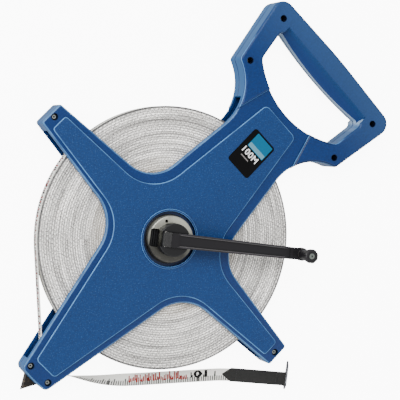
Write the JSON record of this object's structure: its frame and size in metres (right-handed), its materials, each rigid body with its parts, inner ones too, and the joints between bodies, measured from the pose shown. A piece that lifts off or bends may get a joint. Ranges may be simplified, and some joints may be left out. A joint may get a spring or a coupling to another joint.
{
  "type": "surveyor tape reel",
  "caption": "Open-frame surveyor tape reel: a handled cross of two moulded shells holds a drum of flat tape, turned by a fold-over crank with a spinning knob.",
  "frame": {"origin": "on the drum's axis, in the plane of the flat back that the reel lies on", "axes": "+Z along the drum's axis towards the crank side, the handle pointing halfway between +X and +Y"},
  "size_m": [0.3898, 0.4066, 0.0705],
  "materials": {
    "shell_blue": "fine-grained moulded",
    "screw_steel": "zinc-plated",
    "label": "printed film",
    "spike_steel": "ground",
    "bright_steel": "nickel-plated",
    "spring_steel": "phosphated",
    "bearing_plastic": "natural acetal",
    "drum_plastic": "moulded",
    "tape": "coated glass-fibre",
    "disc_grey": "satin silver",
    "boss_black": "moulded",
    "arm_black": "fine-grained moulded",
    "roller_plastic": "turned acetal",
    "tab_black": "coated, folded and bonded"
  },
  "bodies": {
    "frame": {"front_shell": "shell_blue", "rear_shell": "shell_blue", "arm_screws": "screw_steel", "handle_screws": "screw_steel", "label_plate": "label", "ground_spike": "spike_steel", "axle": "bright_steel", "thrust_washer": "bearing_plastic", "retaining_washer": "bright_steel", "circlip": "spring_steel", "guide_pin": "bright_steel", "tape_run": "tape", "free_tape": "tape", "end_tab": "tab_black"},
    "drum": {"drum_front_half": "drum_plastic", "drum_rear_half": "drum_plastic", "drum_screws": "screw_steel", "rear_bush": "bearing_plastic", "front_bush": "bearing_plastic", "wound_tape": "tape", "crank_disc": "disc_grey", "notch_insert": "boss_black", "crank_boss": "boss_black", "boss_screws": "screw_steel", "hinge_pin": "bright_steel"},
    "crank": {"crank_arm": "arm_black", "knob_spindle": "bright_steel", "knob_washer": "bright_steel"},
    "knob": {"crank_knob": "arm_black"},
    "roller": {"guide_roller": "roller_plastic"},
    "ring": {"end_ring": "bright_steel"}
  },
  "joints": [
    {"name": "drum_spin", "type": "hinge", "parent": "frame", "child": "drum", "pos_m": [0, 0, 0.0155], "axis": [0, 0, 1], "continuous": true},
    {"name": "crank_fold", "type": "hinge", "parent": "drum", "child": "crank", "pos_m": [-0.00795, 0.00091, 0.042], "axis": [-0.1132, -0.9936, 0], "range_deg": [0, 180]},
    {"name": "knob_spin", "type": "hinge", "parent": "crank", "child": "knob", "pos_m": [0.1391, -0.01585, 0.0485], "axis": [0, 0, 1], "continuous": true},
    {"name": "roller_spin", "type": "hinge", "parent": "frame", "child": "roller", "pos_m": [-0.1194, -0.1275, 0.0155], "axis": [0, 0, 1], "continuous": true},
    {"name": "ring_swing", "type": "hinge", "parent": "frame", "child": "ring", "pos_m": [0.14387, -0.15327, 0.0022], "axis": [0.1201, 0.9928, 0], "range_deg": [-60, 112]}
  ],
  "couplings": [
    {"joint": "roller_spin", "follows": "drum_spin", "ratio": 25.38}
  ]
}
